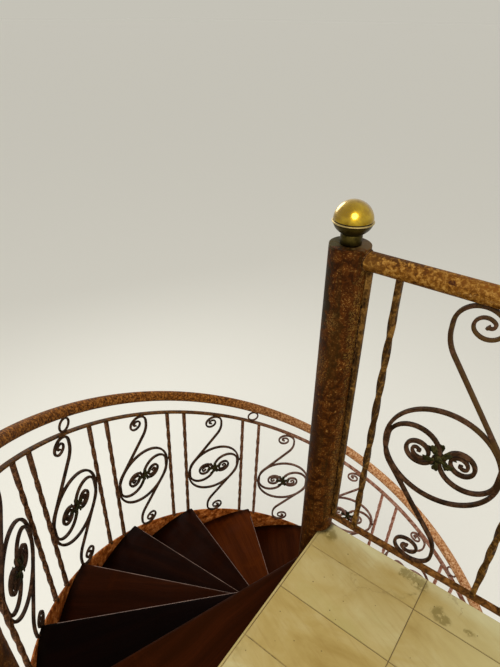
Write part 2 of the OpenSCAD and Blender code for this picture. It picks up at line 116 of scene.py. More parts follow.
class Board:
    """Lays nodes and effects. Plain and capitalised values of a call go to the inlets, others are settings."""

    def __init__(self, tree):
        self.tree, self.families = tree, (tree.bl_idname[:-4], "FunctionNode", "ShaderNode", "Node")

    def __call__(self, kind, *given, **values):
        if not isinstance(kind, str):
            kind, values["node_tree"] = "Group", kind
        node = self.tree.nodes.new(next(f + kind for f in self.families if hasattr(bpy.types, f + kind)))
        for name, value in values.items():
            if name[0].islower():
                setattr(node, name, value)
        inlets = [(name.replace("_", " "), value) for name, value in values.items() if name[0].isupper()]
        for place, value in [*enumerate(given), *inlets]:
            self.join(value, node.inputs[place])
        return Flow(self, node)

    def join(self, value, socket):
        if isinstance(value, Flow):
            self.tree.links.new(value.socket, socket)
        elif value is not None:
            socket.default_value = tone(value) if socket.type == "RGBA" else value

    def sum(self, operation, *given):
        return self("Math", *given, operation=operation)

    def along(self, operation, *given, **inlets):
        return self("VectorMath", *given, operation=operation, **inlets)

    def stretch(self, vector, *shares):
        return self.along("MULTIPLY", vector, shares)

    def shifted(self, vector, seed, *steps):
        """The vector, moved by a number of steps, so that what is drawn there differs."""
        return self.along("ADD", vector, self.along("MULTIPLY", steps, self.xyz(seed, seed, seed)))

    def length(self, vector):
        return self.along("LENGTH", vector).Value

    def xyz(self, x, y, z):
        return self("CombineXYZ", x, y, z)

    def coats(self, colour, *coats):
        """Lays colours over the first one, each as far as its mask lets it."""
        for amount, over in coats:
            colour = self("Mix", amount, *[None] * 5, colour, over, data_type="RGBA")[2]
        return colour

    def ease(self, value, low, high, start=0, end=1):
        return self("MapRange", value, low, high, start, end, interpolation_type="SMOOTHSTEP")

    def noise(self, vector, scale, detail=3, roughness=0.55, distortion=0):
        return self("TexNoise", Vector=vector, Scale=scale, Detail=detail, Roughness=roughness, Distortion=distortion)

    def cells(self, vector, scale, **settings):
        return self("TexVoronoi", Vector=vector, Scale=scale, **settings).Distance

    def ramp(self, value, *stops):
        ramp = self("ValToRGB", value)
        marks = ramp.node.color_ramp.elements
        while len(marks) < len(stops):
            marks.new(0.5)
        for mark, (place, colour) in zip(marks, stops):
            mark.position, mark.color = place, tone(colour)
        return ramp


def tone(colour):
    """A colour as it looks, three numbers up to 255, as the light that it stands for; light stays as it is."""
    if len(colour) == 4:
        return colour
    return tuple(c / 12.92 if c <= 0.04045 else ((c + 0.055) / 1.055) ** 2.4 for c in (c / 255 for c in colour)) + (1,)


def built(kind, results, **given):
    """Makes a node group of a function. An inlet is given by its kind, or by a first value."""
    def make(build):
        tree = bpy.data.node_groups.new(build.__name__, kind + "NodeTree")
        for label, value in given.items():
            socket = value if isinstance(value, str) else type(value).__name__.title()
            inlet = tree.interface.new_socket(label, in_out="INPUT", socket_type="NodeSocket" + socket)
            if socket != value:
                inlet.default_value = value
        for label, socket in results.items():
            tree.interface.new_socket(label, in_out="OUTPUT", socket_type="NodeSocket" + socket)
        board = Board(tree)
        inlets, outlets = board("GroupInput"), tree.nodes.new("NodeGroupOutput").inputs
        made = build(board, inlets)
        if kind == "Geometry":
            made = board("SetMaterial", board("RealizeInstances", made), Material=inlets.Material),
        for value, outlet in zip(made, outlets):
            board.join(value, outlet)
        return tree
    return make


def effect(masks, **given):
    """A shared effect; its function hands back the masks in the order of their names."""
    return built("Shader", dict.fromkeys(masks.split(), "Float"), **given)


def shaper(**given):
    """A geometry tree; its function hands back the shape, which gets its material last."""
    return built("Geometry", {"Geometry": "Geometry"}, **given, Material="Material")


# Shared effects
@effect("Blotch Fleck Pit Streak Relief", Vector="Vector", Size=0.03, Seed=0.0)
def weathering(b, given):
    """Old iron: broad blotches, light flecks, pits and vertical streaks."""
    scaled = b.along("SCALE", given.Vector, Scale=1 / given.Size)
    place = b.shifted(scaled, given.Seed, 17.3, 5.1, 9.7)
    blotch = b.noise(place, 1, 6, 0.62, 0.5)
    fine = b.noise(place, 4.6, 5, 0.66, 0.3)
    grit = b.noise(place, 15, 3, 0.6)
    where = b.ease(b.noise(place, 0.55, 2), 0.46, 0.62)
    pit = b.ease(b.cells(place, 6), 0.26, 0.05) * where
    fleck = b.ease(fine * 0.72 + grit * 0.28, 0.53, 0.63) * b.ease(blotch, 0.4, 0.62)
    streak = b.noise(b.stretch(place, 1, 1, 0.09), 1.3, 3, 0.55, 0.4)
    relief = fine * 0.6 + grit * 0.4
    return blotch, fleck, pit, streak, relief - pit * 0.9


@effect("Edge", Vector="Vector", Radius=0.003, Raggedness=60.0)
def worn_edges(b, given):
    """A mask that is 1 on the sharp outer edges of a piece."""
    soft = b("Bevel", given.Radius, samples=4)
    facing = b.along("DOT_PRODUCT", soft, b("NewGeometry").Normal).Value
    ragged = b.noise(given.Vector, given.Raggedness, 4, 0.6) * 0.1
    return b.ease(1 - facing + ragged, 0.085, 0.16),


@effect("Band Fibre Relief", Vector="Vector", Seed=0.0)
def timber(b, given):
    """Straight-grained hardwood: the grain runs along X."""
    place = b.shifted(given.Vector, given.Seed, 3.7, 1.9, 2.3)
    bent = b.along("ADD", place, b.stretch(b.noise(place, 1.6, 2).Color, 0, 0.09, 0.05))
    band = b.noise(b.stretch(bent, 0.9, 15, 15), 1, 4, 0.6)
    fibre = b.noise(b.stretch(bent, 6, 170, 170), 1, 3, 0.65)
    pores = b.ease(b.noise(b.stretch(bent, 22, 420, 420), 1, 2), 0.6, 0.72)
    return band, fibre, fibre * 0.6 - pores


@effect("Lower", Vector="Vector", From=0.32, To=0.5)
def down_flight(b, given):
    """A mask that comes up half way down the flight, by the angle round the column; it places painted light there."""
    at = b("SeparateXYZ", given.Vector)
    share = -0.25 - b.sum("ARCTAN2", at.Y, at.X) / (2 * pi)
    return b.ease(b.sum("FRACT", share), given.From, given.To) * b.ease(at.Z, LAND - 0.05, LAND - 0.25),


# Materials
def new_material(name, **values):
    material = bpy.data.materials.new(name)
    material.use_nodes = True
    shader = material.node_tree.nodes["Principled BSDF"].inputs
    board = Board(material.node_tree)
    for label, value in values.items():
        board.join(value, shader[label.replace("_", " ")])
    return material, board, shader, board("TexCoord").Object


def finish(b, shader, colour, roughness, height, depth, strength=1):
    b.join(colour, shader["Base Color"])
    b.join(roughness, shader["Roughness"])
    b.join(b("Bump", Strength=strength, Distance=depth, Height=height), shader["Normal"])


def old_iron(name, tones, size, seed, flecks=0.5, streaks=0, streak=(28, 24, 14), rough=(0.42, 0.72),
             depth=0.0009, edge=None, spread=0.5, shine=0.05, lit_tones=None, stains_and_shade=()):
    """Painted iron, rusted and rubbed: three tones go from deep to light with the blotches, then come fleck and pit.

    Down the lower half of the flight a second set of lighter tones takes over: painted light, standing in for the
    stronger light that falls there. Each stain has a middle, a reach along each axis, a strength and a tone, and may be
    speckled; some of them are painted shade."""
    material, b, shader, place = new_material(name, Specular_IOR_Level=shine)
    iron = b(weathering, place, Size=size, Seed=seed)
    half = 0.16 * spread / 0.5
    marks = (0.5 - half, 0.5, 0.5 + half)

    def painted(deep, middle, light, fleck):
        base = b.ramp(iron.Blotch, *((mark, t) for mark, t in zip(marks, (deep, middle, light))))
        return b.coats(base, (iron.Fleck * flecks, fleck))

    colour = painted(*tones[:4])
    # Painted light: lighter tones down the lower half of the flight, where more light falls.
    if lit_tones:
        colour = b.coats(colour, (b(down_flight, place), painted(*lit_tones)))
    if streaks:
        colour = b.coats(colour, (b.ease(iron.Streak, 0.52, 0.66) * streaks, streak))
    ragged = (iron.Blotch - 0.5) * 3
    speckle = b.ease(iron.Relief, 0.47, 0.58)
    for (x, y, z), reach, strength, stain_and_shade, *speckled in stains_and_shade:
        out = b.length(b.along("DIVIDE", b.along("SUBTRACT", place, (x, y, LAND + z)), reach))
        amount = b.ease(out + ragged, 1.2, 0.6, 0, strength)
        colour = b.coats(colour, (amount * speckle if speckled else amount, stain_and_shade))
    colour = b.coats(colour, (iron.Pit * 0.85, tones[4]))
    if edge:
        colour = b.coats(colour, (b(worn_edges, place, Radius=0.0022) * 0.55, edge))
    finish(b, shader, colour, b.ease(iron.Blotch + iron.Fleck * 0.3, 0.3, 0.9, *rough), iron.Relief, depth)
    return material


def mahogany(name, angle, seed, deep, middle, light):
    """Polished dark wood with the grain along the tread, and painted shade along its outer rim by the stringer."""
    material, b, shader, place = new_material(name, Specular_IOR_Level=0.015)
    laid = b("Mapping", Vector=place, Rotation=(0, 0, -angle))
    wood = b(timber, laid, Seed=seed)
    scuffs = b.noise(b.stretch(laid, 9, 3, 3), 1, 5, 0.7)
    worn = b(worn_edges, place, Radius=0.003, Raggedness=30)
    # Painted shade: the board darkens towards its outer rim, where it meets the stringer.
    out = b.length(b.stretch(place, 1, 1, 0)) + b.noise(place, 30, 4) * 0.05
    colour = b.coats(
        b.ramp(wood.Band, (0.34, deep), (0.52, middle), (0.7, light)),
        (b.ease(wood.Fibre, 0.4, 0.62, 0, 0.4), deep),
        (b.ease(scuffs, 0.56, 0.75, 0, 0.5), light),
        (worn * 0.35, (78, 42, 18)),
        (b.ease(out, 0.97, 1.01, 0, 0.7), (14, 6, 2)))
    finish(b, shader, colour, b.ease(scuffs, 0.35, 0.7, 0.45, 0.68), wood.Relief, 0.0005, 0.6)
    return material


# Stains on the tiles, the last one a patch of painted shade by the column: where they lie and how far they reach
TILE_STAINS_AND_SHADE = ((0.318, -0.002, 0.009), (0.345, -0.006, 0.01), (0.372, -0.014, 0.014), (0.448, -0.07, 0.018),
               (0.468, -0.078, 0.014), (0.54, -0.07, 0.012), (0.072, -0.03, 0.022))


def glazed_tile():
    """Cream floor tile with clouds of olive and brown, fine scratches, specks, cracks and painted shade round the
    posts.
    """
    material, b, shader, place = new_material("cream_tile", Specular_IOR_Level=0.2)
    each = b("Attribute", attribute_name="tone").Fac
    at = b("SeparateXYZ", place)
    flat = b.xyz(at.X, at.Y, 0)
    apart = b.along("ADD", place, b.stretch(b.xyz(each, each, 0), 7, 3, 0))
    cloud = b.noise(b.stretch(apart, 5, 8, 1), 1, 5, 0.6, 0.8)
    stroke = b.noise(b.stretch(b("Mapping", Vector=apart, Rotation=(0, 0, 0.35)), 9, 90, 1), 1, 4, 0.62, 0.4)
    rub = b.noise(place, 11, 5, 0.62, 0.5)
    border = b.ease(at.Y + (rub - 0.5) * 0.06, -0.046, 0)
    stain_and_shade = b.ease(b.noise(place, 8, 5, 0.6, 0.6), 0.59, 0.67) * b.ease(b.noise(place, 2.1, 2), 0.48, 0.58)
    # Stain patches; the last one, by the column, is painted shade.
    for x, y, reach in TILE_STAINS_AND_SHADE:
        near = b.along("DISTANCE", flat, (x, y, 0)).Value
        patch = b.ease(near + (rub - 0.5) * 0.1, reach * 1.5, reach * 0.6)
        stain_and_shade = b.sum("MAXIMUM", stain_and_shade, patch * b.ease(b.noise(place, 60, 4, 0.7), 0.34, 0.48))
    bent = b.along("ADD", place, b.stretch(b.noise(place, 9, 4, 0.7).Color, 0.16, 0.16, 0.16))
    split = b.cells(bent, 3.1, feature="DISTANCE_TO_EDGE")
    crack = b.ease(split, 0.0075, 0.003) * b.ease(b.noise(place, 4.3, 3), 0.5, 0.6)
    speck = b.ease(b.cells(place, 26), 0.075, 0.03)
    post_foot_shade = []
    # Painted shade: a dark ring on the tiles round the foot of each post.
    for y in (0, -FLIGHT):
        out = b.along("DISTANCE", flat, (0, y, 0)).Value
        post_foot_shade.append((b.ease(out + (rub - 0.5) * 0.03, POST + 0.018, POST + 0.001) * 0.9, (40, 30, 12)))
    worn = b(worn_edges, place, Radius=0.0015, Raggedness=90)
    glaze = b.ramp(cloud, (0.3, (146, 121, 62)), (0.46, (160, 137, 78)), (0.6, (168, 148, 94)), (0.76, (178, 165, 116)))
    colour = b.coats(
        glaze, (b.ease(stroke, 0.46, 0.72, 0, 0.35), (140, 113, 58)),
        (b.ease(b.noise(apart, 3.4, 3), 0.55, 0.74, 0, 0.45), (152, 143, 80)),
        # Painted light: the tiles grow paler towards +X, where more light falls.
        (b.ease(at.X, 0.33, 0.62, 0, 0.55), (180, 169, 118)),
        (b.ease(each, 0, 1, 0, 0.25), (174, 158, 106)),
        (border * 0.38, (186, 182, 142)), (stain_and_shade * 0.72, (108, 92, 40)), (crack * 0.25, (96, 74, 34)),
        (speck * 0.75, (74, 56, 24)), *post_foot_shade, (worn * 0.35, (140, 116, 66)))
    height = stroke - b.sum("MAXIMUM", speck, crack) * 0.8
    finish(b, shader, colour, b.ease(cloud, 0.3, 0.8, 0.32, 0.55), height, 0.0006, 0.5)
    return material


def cement(name, dark, light, size=14, filled=None):
    """Rough cement; where it was filled by the column it has the colour of the tiles."""
    material, b, shader, place = new_material(name)
    coarse = b.noise(place, size, 6, 0.65, 0.3)
    grains = b.noise(place, size * 22, 2, 0.6)
    colour = b.coats(b.ramp(coarse, (0.34, dark), (0.66, light)), (b.ease(grains, 0.55, 0.75, 0, 0.5), light))
    if filled:
        at = b("SeparateXYZ", place)
        rows = b.sum("MAXIMUM", b.ease(at.Y, -0.15, -0.13), b.ease(at.Y, -0.42, -0.44, 0, 0.85))
        near = b.ease(at.X, 0.38, 0.36) * rows
        colour = b.coats(colour, (near * b.ease(coarse, 0.36, 0.5), filled))
    finish(b, shader, colour, b.ease(coarse, 0.3, 0.7, 0.75, 0.95), coarse + grains * 0.4, 0.003, 0.7)
    return material


def brass(name, deep, bright, tarnish, rough, share, grooves=(), lacquer=0):
    """Lacquered brass: cloudy, with hair scratches, tarnish in patches, and dark lines in grooves at given heights that
    are tarnish and painted shade.
    """
    material, b, shader, place = new_material(name, Metallic=1, Coat_Weight=lacquer, Coat_Roughness=0.12)
    cloud = b.noise(place, 22, 4, 0.6, 0.4)
    scratch = b.noise(b.stretch(b("Mapping", Vector=place, Rotation=(0.5, 0.9, 0.3)), 30, 900, 500), 1, 2, 0.6)
    gathered = b.ease(b.noise(place, 48, 5, 0.65), 0.5, 0.66) * share
    colour = b.coats(b.ramp(cloud, (0.35, deep), (0.65, bright)), (gathered, tarnish))
    # Dark lines in the grooves: tarnish and painted shade.
    for z, half in grooves:
        off = abs(b("SeparateXYZ", place).Z - z)
        colour = b.coats(colour, (b.ease(off, half * 1.3, half * 0.8), (34, 24, 6)))
    roughness = b.ease(cloud, 0.3, 0.7, rough, rough + 0.14) + gathered * 0.3
    finish(b, shader, colour, roughness, scratch * 0.4 + gathered, 0.0002, 0.5)
    return material


# Finishes
POST_STAINS_AND_SHADE = (
    # Painted shade: the first entry darkens the top disc under the ball.
    ((0, 0, DISC_TOP - LAND), (0.04, 0.04, 0.006), 0.85, (34, 24, 8)),
    ((-0.04, -0.012, DISC_TOP - LAND), (0.026, 0.034, 0.012), 0.8, (66, 58, 22)),
    ((0.036, 0.01, DISC_TOP - LAND), (0.024, 0.034, 0.01), 0.7, (92, 72, 40)),
    ((-0.034, -0.038, 0.87), (0.022, 0.026, 0.095), 0.85, (36, 27, 10)),
    ((0.048, -0.019, 0.8), (0.018, 0.018, 0.16), 0.5, (150, 112, 50), "speckled"),
    ((0.048, -0.018, 0.3), (0.014, 0.016, 0.3), 0.5, (142, 104, 46), "speckled"),
    ((-0.002, -0.051, 0.81), (0.016, 0.02, 0.03), 0.42, (160, 118, 60), "speckled"),
    ((-0.026, -0.044, 0.66), (0.026, 0.026, 0.055), 0.38, (156, 108, 46), "speckled"),
    ((0.012, -0.05, 0.74), (0.02, 0.02, 0.11), 0.45, (48, 32, 6)),
    ((-0.02, -0.047, 0.38), (0.034, 0.03, 0.15), 0.6, (44, 20, 4)))
POST_IRON = old_iron(
    "post_iron", ((38, 16, 2), (60, 28, 3), (80, 42, 8), (172, 128, 66), (20, 9, 2)),
    0.022, 1, 0.66, streaks=0.6, streak=(36, 24, 5), spread=0.42, stains_and_shade=POST_STAINS_AND_SHADE)
GUARD_RAIL_IRON = old_iron(
    "guard_rail_iron", ((52, 25, 2), (108, 66, 14), (158, 115, 50), (200, 160, 92), (30, 14, 1)),
    0.0095, 2, 0.62, spread=0.56,
    stains_and_shade=(
        # Painted shade: the dark bands along the top of the rail and the dark patch where it meets the column.
        ((0.11, 0.01, GUARD_UP + 0.026), (0.085, 0.03, 0.022), 0.8, (62, 34, 8)),
        ((0.066, -0.014, GUARD_UP), (0.036, 0.022, 0.034), 0.6, (88, 56, 18)),
        ((0.42, 0.018, GUARD_UP + 0.022), (0.16, 0.02, 0.012), 0.6, (78, 46, 12)),
        ((0.65, 0.004, GUARD_UP + 0.018), (0.34, 0.036, 0.016), 0.6, (132, 76, 22)),
        ((0.64, -0.02, GUARD_UP - 0.004), (0.3, 0.01, 0.006), 0.6, (194, 148, 86)),
        ((0.25, -0.014, GUARD_UP + 0.01), (0.012, 0.01, 0.006), 0.9, (50, 20, 4))))
# The lighter tones given for down the flight, here and below, are painted light.
STAIR_RAIL_IRON = old_iron(
    "stair_rail_iron", ((26, 10, 1), (104, 57, 11), (168, 108, 44), (204, 154, 88), (28, 12, 1)),
    0.0098, 3, 0.75, spread=0.5,
    lit_tones=((134, 70, 32), (198, 138, 86), (234, 190, 144), (250, 226, 194)))
STRINGER_IRON = old_iron(
    "stringer_iron", ((66, 25, 3), (146, 73, 22), (208, 128, 62), (238, 184, 124), (48, 18, 2)),
    0.026, 4, 0.62, edge=(70, 38, 14), spread=0.6, shine=0.03)
FLAT_IRON = old_iron(
    "flat_iron", ((36, 18, 2), (82, 49, 13), (122, 80, 34), (158, 114, 66), (24, 12, 2)),
    0.018, 5, 0.45, edge=(110, 76, 42),
    lit_tones=((118, 68, 46), (160, 112, 88), (196, 156, 136), (228, 202, 188)))
BAR_IRON = old_iron(
    "bar_iron", ((40, 21, 6), (80, 48, 23), (132, 88, 54), (176, 132, 96), (24, 12, 3)),
    0.014, 6, 0.5, edge=(142, 98, 64),
    lit_tones=((144, 76, 52), (186, 124, 98), (214, 172, 154), (238, 218, 206)))
GUARD_BAR_IRON = old_iron(
    "guard_bar_iron", ((32, 19, 5), (70, 45, 15), (118, 84, 36), (160, 124, 68), (20, 11, 2)),
    0.018, 7, 0.55, edge=(130, 95, 48), spread=0.46,
    stains_and_shade=(((0.4, 0, 0.52), (0.6, 0.1, 0.26), 0.62, (46, 30, 12)),))
SCROLL_IRON = old_iron(
    "scroll_iron", ((25, 14, 6), (48, 30, 16), (82, 56, 38), (120, 90, 64), (16, 9, 3)),
    0.026, 8, 0.4, edge=(82, 59, 35), depth=0.0006,
    stains_and_shade=(((0.62, 0, 0.8), (0.34, 0.1, 0.24), 0.4, (104, 77, 40)),),
    lit_tones=((98, 60, 44), (138, 98, 82), (170, 138, 122), (206, 182, 170)))
LEAF_IRON = old_iron(
    "leaf_iron", ((20, 19, 5), (37, 35, 14), (64, 58, 26), (98, 90, 48), (12, 11, 4)),
    0.012, 9, 0.35, edge=(92, 84, 46), depth=0.0006)
WELD_IRON = old_iron(
    "weld_iron", ((30, 16, 4), (58, 35, 14), (96, 64, 32), (140, 102, 62), (18, 9, 3)), 0.009, 10, 0.5)
# Partly painted shade: near-black weld, darker than the other welds, standing in for the shade in the creases by the
# stile and the column's foot.
SEAM_IRON_AND_SHADE = old_iron(
    "seam_iron_and_shade", ((14, 7, 1), (28, 13, 3), (58, 34, 12), (150, 112, 62), (8, 4, 1)), 0.01, 14, 0.8)
FRAME_IRON = old_iron(
    "frame_iron", ((58, 31, 12), (92, 54, 26), (124, 80, 44), (150, 106, 70), (36, 18, 7)),
    0.05, 11, 0.5, streaks=0.3, edge=(112, 74, 46))
SCREW_STEEL = old_iron(
    "screw_steel", ((84, 76, 66), (120, 110, 98), (150, 140, 126), (170, 150, 120), (70, 40, 22)),
    0.006, 12, 0.4, rough=(0.35, 0.6), shine=0.4)
BALL_BRASS = brass("ball_brass", (150, 116, 8), (190, 156, 30), (132, 98, 8), 0.24, 0.45,
    grooves=((BALL_Z + 0.0008, 0.0012),), lacquer=0.55)
# Painted shade: the lower half of the ball and its neck get far darker brass than the dome, standing in for shade and
# dark reflections below the ball.
SHADED_BOWL_BRASS = brass("bowl_brass_painted_shade", (46, 40, 14), (76, 64, 26), (22, 20, 10), 0.36, 0.7,
    grooves=((BALL_Z - 0.006, 0.001), (DISC_TOP, 0.003)))
SEAM_BRASS = brass("seam_brass", (150, 128, 74), (188, 166, 108), (90, 72, 34), 0.3, 0.4)
# Partly painted highlight: the strip's pale tones stand in for light caught on the rounded nosing.
STRIP_METAL_AND_HIGHLIGHT = old_iron(
    "nosing_strip_and_highlight", ((84, 60, 48), (118, 90, 76), (150, 120, 104), (176, 148, 132), (50, 32, 24)),
    0.05, 13, 0.4, rough=(0.34, 0.55), depth=0.0003, shine=0.3)
TILE = glazed_tile()
SCREED = cement("screed", (132, 112, 72), (172, 154, 112))
JOINT = cement("joint_mortar", (58, 44, 22), (92, 74, 42), 30, filled=(150, 128, 78))


# Geometry trees
@shaper(Outline="Geometry", From=0.0, To=1.0, Steps=48, Radius=FLIGHT, Up=0.0, Stretch=1.0)
def wound_bar(b, given):
    """The outline given is drawn out along the flight, between two places on it."""
    line = b("CurvePrimitiveLine", b.xyz(given.From, 0, 0), b.xyz(given.To, 0, 0))
    bar = b("CurveToMesh", b("ResampleCurve", line, Count=given.Steps), given.Outline, Fill_Caps=True)
    at = b("SeparateXYZ", b("InputPosition"))
    angle = -pi / 2 - at.X * TURN
    r = given.Radius + at.Y
    z = LAND - at.X * RISE + given.Up + at.Z * given.Stretch
    place = b.xyz(r * b.sum("COSINE", angle), r * b.sum("SINE", angle), b.sum("MAXIMUM", z, 0))
    return b("SetPosition", bar, Position=place)


def set_out(b, points, thing, upright=False):
    """Puts the thing on every point, turned to the point's own facing."""
    facing = b("InputNamedAttribute", "facing", data_type="FLOAT")
    return b("InstanceOnPoints", points, Instance=thing, Rotation=b.xyz(pi / 2 if upright else 0, 0, facing))


def bar_outline(b, given):
    """A rounded rectangle."""
    box = b("CurvePrimitiveQuadrilateral", given.Width, given.Depth)
    return b("FilletCurve", box, Radius=given.Rounding, Limit_Radius=True, Count=2, mode="POLY")


@shaper(Points="Geometry", Length=0.7, Width=TWIST_W, Depth=TWIST_W, Rounding=0.0016, Turns=2.0, Foot=0.1, Head=0.1,
        Steps=60, Lean=0.0, Rise=0.0)
def twisted_bar(b, given):
    """Square bars, twisted between two straight ends, one on every point."""
    line = b("CurvePrimitiveLine", (0, 0, 0), b.xyz(0, 0, given.Length))
    line = b("ResampleCurve", line, Count=given.Steps)
    part = b("MapRange", b("SplineParameter").Factor, given.Foot, 1 - given.Head, 0, 1)
    line = b("SetCurveTilt", line, Tilt=part * given.Turns * (2 * pi))
    bar = b("CurveToMesh", line, bar_outline(b, given), Fill_Caps=True)
    left = 1 - b("SeparateXYZ", b("InputPosition")).Z / given.Length
    bar = b("SetPosition", bar, Offset=b.xyz(0, left * given.Lean, left * given.Rise))
    return set_out(b, given.Points, bar)


def uneven(b, shape, scale, amount):
    """The shape with its points pushed about by noise."""
    push = b.along("SUBTRACT", b.noise(None, scale, 2).Color, (0.5, 0.5, 0.5))
    return b("SetPosition", shape, Offset=b.along("SCALE", push, Scale=amount))


@shaper(Lines="Geometry", Places="Object", Width=SCROLL_T, Depth=SCROLL_D, Rounding=0.0022, Hammering=0.0005)
def forged_work(b, given):
    """Flat scroll work: the drawn lines become bars, set upright on every place."""
    lines = b("SetCurveNormal", given.Lines, mode="Z_UP")
    bar = b("CurveToMesh", lines, bar_outline(b, given), Scale=b("InputRadius"), Fill_Caps=True)
    places = b("ObjectInfo", given.Places, transform_space="RELATIVE").Geometry
    return set_out(b, places, uneven(b, bar, 70, given.Hammering), upright=True)


def together(b, *shapes):
    joined = b("JoinGeometry", shapes[0])
    for shape in shapes[1:]:
        b.join(shape, joined.node.inputs[0])
    return joined


@shaper(Places="Geometry", Leaves=5, Length=0.043, Width=0.0104, Thickness=0.0028, Lift=0.0065, Seed=4)
def rosette(b, given):
    """Cast leaves round a boss, on both faces of the scroll work."""
    upright = b("Transform", b("MeshUVSphere", 20, 10, 1), Rotation=(0, pi / 2, 0))
    at = b("SeparateXYZ", b("InputPosition"))
    u = 1 - ((1 - at.X) * 0.5) ** 1.7
    lobes = 1 + b.sum("SINE", u * 13) * 0.1
    groove = b.sum("EXPONENT", abs(at.Y) ** 2 * -14) * 0.0012
    curl = (u * 2.6 - u * u * 2.9) * given.Lift
    notch = b.ease(abs(at.Y), 0.3, 0.04) * b.ease(u, 0.9, 1) * 0.003
    leaf = b("SetPosition", upright, Position=b.xyz(
        0.004 + u * (given.Length - 0.004) - notch,
        at.Y * given.Width * ((0.5 + u * 0.5) * lobes),
        at.Z * given.Thickness + curl - groove))
    wobble = b("RandomValue", None, None, -0.1, 0.1, data_type="FLOAT", Seed=given.Seed)[1]
    spin = b("InputIndex") * (2 * pi / given.Leaves) + (wobble + 0.908)
    ring = b("InstanceOnPoints", b("Points", given.Leaves), Instance=leaf, Rotation=b.xyz(0, 0, spin))
    boss = b("Transform", b("MeshUVSphere", 16, 8, 0.0125), Scale=(1, 1, 0.62))
    side = b("Transform", together(b, ring, boss), Translation=(0, 0, 0.0062))
    back = b("Transform", side, Rotation=(pi, 0, 0))
    return set_out(b, given.Places, together(b, side, back), upright=True)


@shaper(Points="Geometry", Roughness=0.28, Seed=7)
def weld_spot(b, given):
    """Lumps of weld, one on every point, as large as the point's own size."""
    size = b("InputNamedAttribute", "size", data_type="FLOAT")
    spin = b("RandomValue", (0, 0, 0), (6.28, 6.28, 6.28), data_type="FLOAT_VECTOR", Seed=given.Seed)
    lump, scale = b("MeshIcoSphere", 1, 3), b.xyz(size, size, size)
    spots = b("InstanceOnPoints", given.Points, Instance=lump, Rotation=spin, Scale=scale)
    return uneven(b, b("RealizeInstances", spots), 150, given.Roughness * 0.02)


@shaper(Lines="Geometry", Size=0.003)
def weld_seam(b, given):
    """A lumpy bead of weld that follows the lines given."""
    fine = b("ResampleCurve", given.Lines, mode="LENGTH", Length=0.0026)
    swell = b.ease(b.noise(None, 120, 2), 0.3, 0.7, 0.65, 1.3)
    bead = b("CurvePrimitiveCircle", Resolution=8, Radius=given.Size)
    return b("CurveToMesh", fine, bead, Scale=swell, Fill_Caps=True)


@shaper(Points="Geometry", Radius=0.006, Height=0.003, Seed=2)
def pan_screw(b, given):
    """Pan-head screws on points, heads down, each with a cross slot."""
    at = b("SeparateXYZ", b("InputPosition"))
    cross = b.sum("MINIMUM", abs(at.X), abs(at.Y))
    near = b.sum("LESS_THAN", b.length(b.xyz(at.X, at.Y, 0)), 0.62)
    flat = (at.Z + b.ease(cross, 0.16, 0.05) * near * 0.45) * given.Height
    place = b.xyz(at.X * given.Radius, at.Y * given.Radius, flat)
    head = b("SetPosition", b("MeshUVSphere", 16, 8, 1), Position=place)
    spin = b("RandomValue", None, None, 0, 6.28, data_type="FLOAT", Seed=given.Seed)[1]
    return b("InstanceOnPoints", given.Points, Instance=head, Rotation=b.xyz(0, 0, spin))


@shaper(Lines="Geometry", Width=0.005, Depth=0.003, Rounding=0.001, Slant=0.0)
def inlaid_strip(b, given):
    """A thin strip along each of the lines given, turned to the slant."""
    laid = b("SetCurveTilt", b("SetCurveNormal", given.Lines, mode="Z_UP"), Tilt=given.Slant)
    return b("CurveToMesh", laid, bar_outline(b, given), Fill_Caps=True)


# Making and keeping pieces
def holder(name, data):
    thing = bpy.data.objects.new(name, data)
    studio.collection.objects.link(thing)
    return thing


def settle(shape):
    """The drawn shape as a mesh of its own."""
    mesh = bpy.data.meshes.new("shape")
    shape.to_mesh(mesh)
    shape.free()
    return mesh


def smooth(mesh, angle=40):
    """Shades the mesh smooth up to the angle, in degrees."""
    for face in mesh.polygons:
        face.use_smooth = True
    mesh.set_sharp_from_angle(angle=radians(angle))
    return mesh


def tidy(mesh, angle=40):
    shape = bmesh.new()
    shape.from_mesh(mesh)
    bmesh.ops.remove_doubles(shape, verts=shape.verts, dist=1e-6)
    bmesh.ops.recalc_face_normals(shape, faces=shape.faces)
    shape.to_mesh(mesh)
    shape.free()
    return smooth(mesh, angle)


def dress(thing, material):
    """Gives a piece or a node of the part its finish."""
    thing.data.materials.clear()
    thing.data.materials.append(material)


def keep(name, mesh, slot, material, *replaces):
    """The finished piece; it may stand for nodes of the part."""
    mesh.name = name
    piece = holder(name, mesh)
    dress(piece, material)
    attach(piece, "root")
    if replaces:
        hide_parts(*replaces)
    return piece


def made_of(carrier):
    """The mesh that the carrier's steps make; the carrier goes."""
    graph = bpy.context.evaluated_depsgraph_get()
    graph.update()
    mesh = bpy.data.meshes.new_from_object(carrier.evaluated_get(graph), depsgraph=graph)
    bpy.data.objects.remove(carrier)
    return mesh


def run(tree, source, angle=40, **values):
    """Runs a tree once on the source; hands back a plain mesh."""
    carrier = holder("carrier", source)
    step = carrier.modifiers.new("made", "NODES")
    step.node_group = tree
    for socket in tree.interface.items_tree:
        if socket.in_out == "INPUT" and socket.name in values:
            step[socket.identifier] = values[socket.name]
    return tidy(made_of(carrier), angle)


def points(places, **numbers):
    mesh = bpy.data.meshes.new("points")
    mesh.from_pydata([tuple(p) for p in places], [], [])
    for label, values in numbers.items():
        mesh.attributes.new(label, "FLOAT", "POINT").data.foreach_set("value", [float(v) for v in values])
    return mesh


